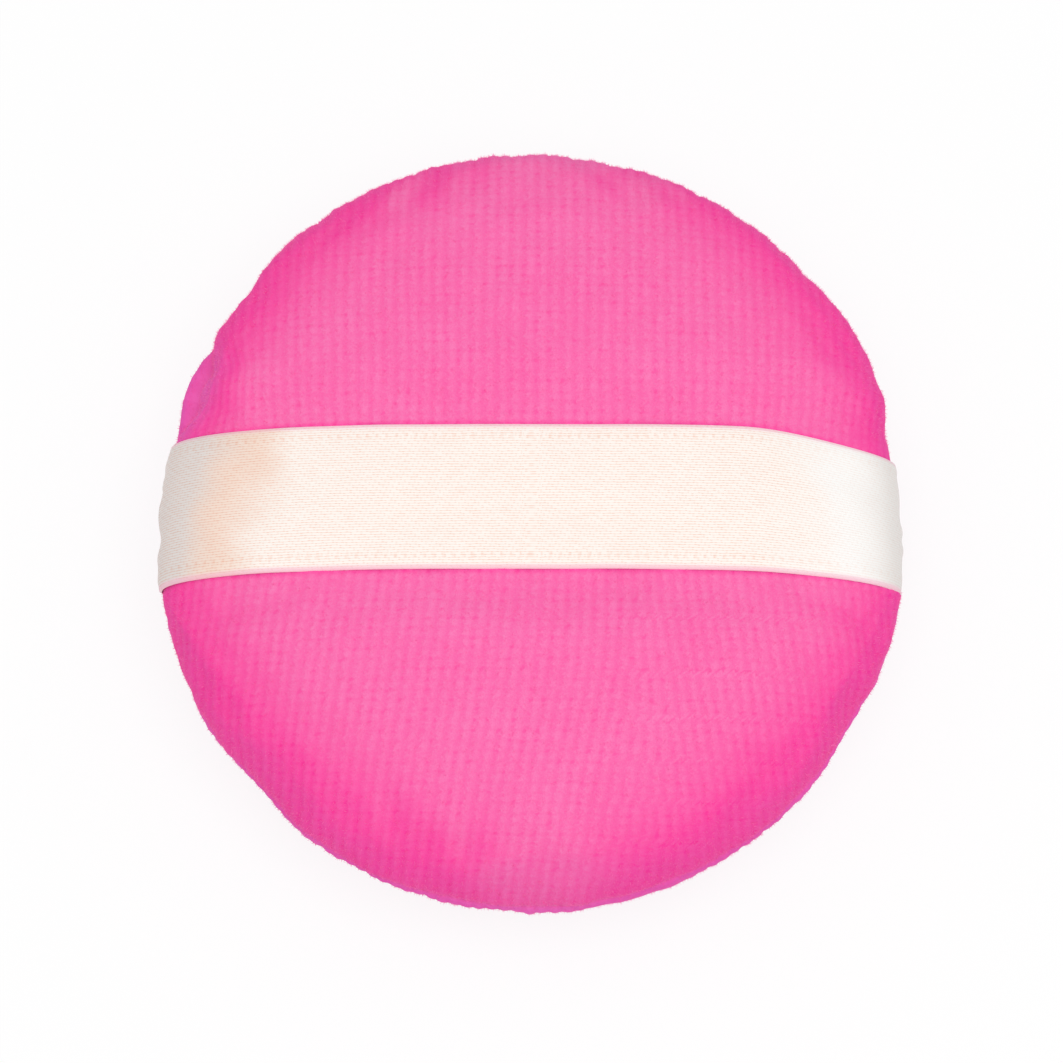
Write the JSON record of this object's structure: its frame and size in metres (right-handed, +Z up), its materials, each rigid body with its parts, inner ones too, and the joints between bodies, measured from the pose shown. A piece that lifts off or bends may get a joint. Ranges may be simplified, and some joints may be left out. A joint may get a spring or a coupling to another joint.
{
  "type": "powder puff",
  "caption": "Round velour powder puff with a foam core and a satin finger ribbon laid over its crown and caught in the rim seam.",
  "frame": {"origin": "on the resting surface, under the middle of the puff", "axes": "+Z up out of the ribbon side, X along the ribbon, Y across it"},
  "size_m": [0.0802, 0.084, 0.0224],
  "materials": {
    "velour": "matte",
    "foam": "matte",
    "satin": "satin",
    "sewing_thread": "matte"
  },
  "bodies": {
    "pad": {"upper_cover": "velour", "lower_cover": "velour", "foam_core": "foam", "seam_thread": "sewing_thread", "closing_stitch": "sewing_thread"},
    "ribbon": {"satin_ribbon": "satin"}
  },
  "joints": [
    {"name": "ribbon_lift", "type": "slide", "parent": "pad", "child": "ribbon", "axis": [0, 0, 1], "range_m": [0, 0.008], "deforming": ["satin_ribbon"]}
  ]
}
